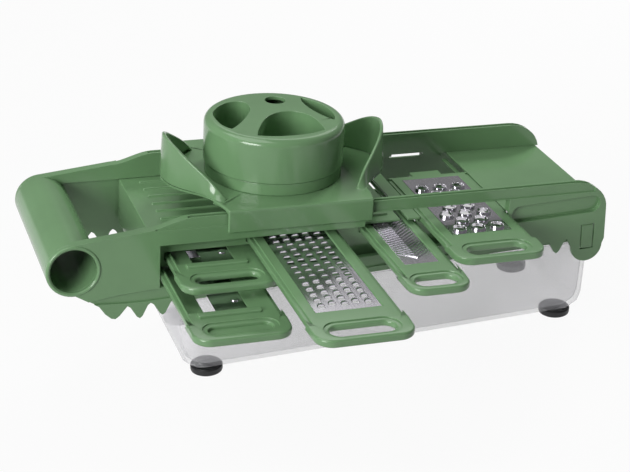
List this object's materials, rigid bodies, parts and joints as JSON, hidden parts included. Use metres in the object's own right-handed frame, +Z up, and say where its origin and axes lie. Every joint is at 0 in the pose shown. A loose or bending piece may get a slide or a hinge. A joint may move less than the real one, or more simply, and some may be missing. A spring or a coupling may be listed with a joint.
{
  "type": "mandoline slicer",
  "caption": "Mandoline slicer with a sloping railed deck over a clear container, slide-in slicing and grating inserts, a sliding hand guard and a pin-disc pusher.",
  "frame": {"origin": "on the table, under the middle of the whole object with its inserts as far out as they stand", "axes": "+Z up, +X along the deck from the handle to the run-out table, inserts pull out towards -Y"},
  "size_m": [0.382, 0.2554, 0.1619],
  "materials": {
    "green_plastic": "glossy moulded",
    "clear_plastic": "clear moulded plastic",
    "steel": "stainless sheet",
    "rubber": "soft black"
  },
  "bodies": {
    "container": {"container": "clear_plastic", "foot_front_left": "rubber", "foot_front_right": "rubber", "foot_rear_left": "rubber", "foot_rear_right": "rubber"},
    "slicer": {"frame_side_front": "green_plastic", "frame_side_rear": "green_plastic", "handle_tube": "green_plastic", "infeed_ramp": "green_plastic", "cross_bar": "green_plastic", "runout_table": "green_plastic", "insert_rack": "green_plastic"},
    "latch_front": {"latch_front": "green_plastic"},
    "latch_rear": {"latch_rear": "green_plastic"},
    "thin_slicer": {"thin_slicer_frame": "green_plastic", "thin_slicer_blade": "steel", "thin_slicer_rivets": "steel"},
    "thick_slicer": {"thick_slicer_frame": "green_plastic", "thick_slicer_blade": "steel", "thick_slicer_rivets": "steel"},
    "coarse_grater": {"coarse_grater_frame": "green_plastic", "coarse_grater_plate": "steel"},
    "narrow_grater": {"narrow_grater_frame": "green_plastic", "narrow_grater_plate": "steel"},
    "round_grater": {"round_grater_frame": "green_plastic", "round_grater_plate": "steel"},
    "hand_guard": {"guard_plate": "green_plastic", "guard_wing_left": "green_plastic", "guard_wing_right": "green_plastic", "guard_collar": "green_plastic"},
    "pusher": {"pusher_cap": "green_plastic", "pusher_sleeve": "green_plastic", "pin_disc": "green_plastic", "holding_pins": "steel"}
  },
  "joints": [
    {"name": "slicer_lift", "type": "slide", "parent": "container", "child": "slicer", "axis": [0, 0, 1], "range_m": [0, 0.08]},
    {"name": "latch_front_flex", "type": "hinge", "parent": "slicer", "child": "latch_front", "pos_m": [0.178, 0.01095, 0.076], "axis": [-1, 0, 0], "range_deg": [0, 6], "stiffness_Nm_per_rad": 0.05},
    {"name": "latch_rear_flex", "type": "hinge", "parent": "slicer", "child": "latch_rear", "pos_m": [0.178, 0.12355, 0.076], "axis": [1, 0, 0], "range_deg": [0, 6], "stiffness_Nm_per_rad": 0.05},
    {"name": "thin_slicer_slide", "type": "slide", "parent": "slicer", "child": "thin_slicer", "axis": [0, 1, 0], "range_m": [-0.0746, 0.017]},
    {"name": "thick_slicer_slide", "type": "slide", "parent": "slicer", "child": "thick_slicer", "axis": [0, 1, 0], "range_m": [-0.0276, 0.064]},
    {"name": "coarse_grater_slide", "type": "slide", "parent": "slicer", "child": "coarse_grater", "axis": [0, 1, 0], "range_m": [-0.0036, 0.0893]},
    {"name": "narrow_grater_slide", "type": "slide", "parent": "slicer", "child": "narrow_grater", "axis": [0, 1, 0], "range_m": [-0.0296, 0.062]},
    {"name": "round_grater_slide", "type": "slide", "parent": "slicer", "child": "round_grater", "axis": [0, 1, 0], "range_m": [-0.0556, 0.036]},
    {"name": "guard_slide", "type": "slide", "parent": "slicer", "child": "hand_guard", "axis": [0.9986, 0, -0.0532], "range_m": [-0.018, 0.149]},
    {"name": "pusher_slide", "type": "slide", "parent": "hand_guard", "child": "pusher", "axis": [0.0532, 0, 0.9986], "range_m": [0, 0.018]}
  ]
}
